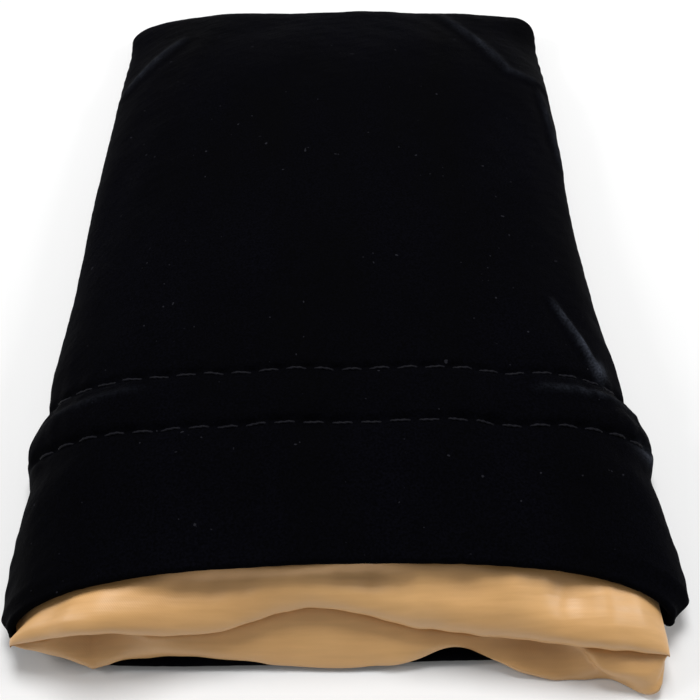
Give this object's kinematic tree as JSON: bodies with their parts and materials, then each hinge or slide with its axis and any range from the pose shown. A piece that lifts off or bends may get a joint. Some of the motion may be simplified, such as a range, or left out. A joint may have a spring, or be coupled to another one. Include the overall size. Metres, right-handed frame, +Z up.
{
  "type": "drawstring dice bag",
  "caption": "Small flat-lying velvet pouch with a satin lining that rolls out at its open mouth and a stitched drawstring channel below it.",
  "frame": {"origin": "middle of the underside, at the centre of the bag's length and width, on the surface it lies on", "axes": "+Z up from the surface, +Y along the bag from its mouth to its closed end, +X across the bag"},
  "size_m": [0.1018, 0.1618, 0.0198],
  "materials": {
    "velvet": "matte",
    "satin": "satin",
    "black_thread": "satin",
    "gold_thread": "satin"
  },
  "bodies": {
    "root": {"outer_front_panel": "velvet", "outer_back_panel": "velvet", "lining_front_panel": "satin", "lining_back_panel": "satin", "channel_stitches_mouth_side_front": "black_thread", "channel_stitches_mouth_side_back": "black_thread", "channel_stitches_body_side_front": "black_thread", "channel_stitches_body_side_back": "black_thread", "outer_seam_stitches_left": "black_thread", "outer_seam_stitches_right": "black_thread", "outer_seam_stitches_end": "black_thread", "lining_seam_stitches_left": "gold_thread", "lining_seam_stitches_right": "gold_thread", "lining_seam_stitches_end": "gold_thread", "mouth_seam_stitches_front": "black_thread", "mouth_seam_stitches_back": "black_thread"}
  },
  "joints": []
}
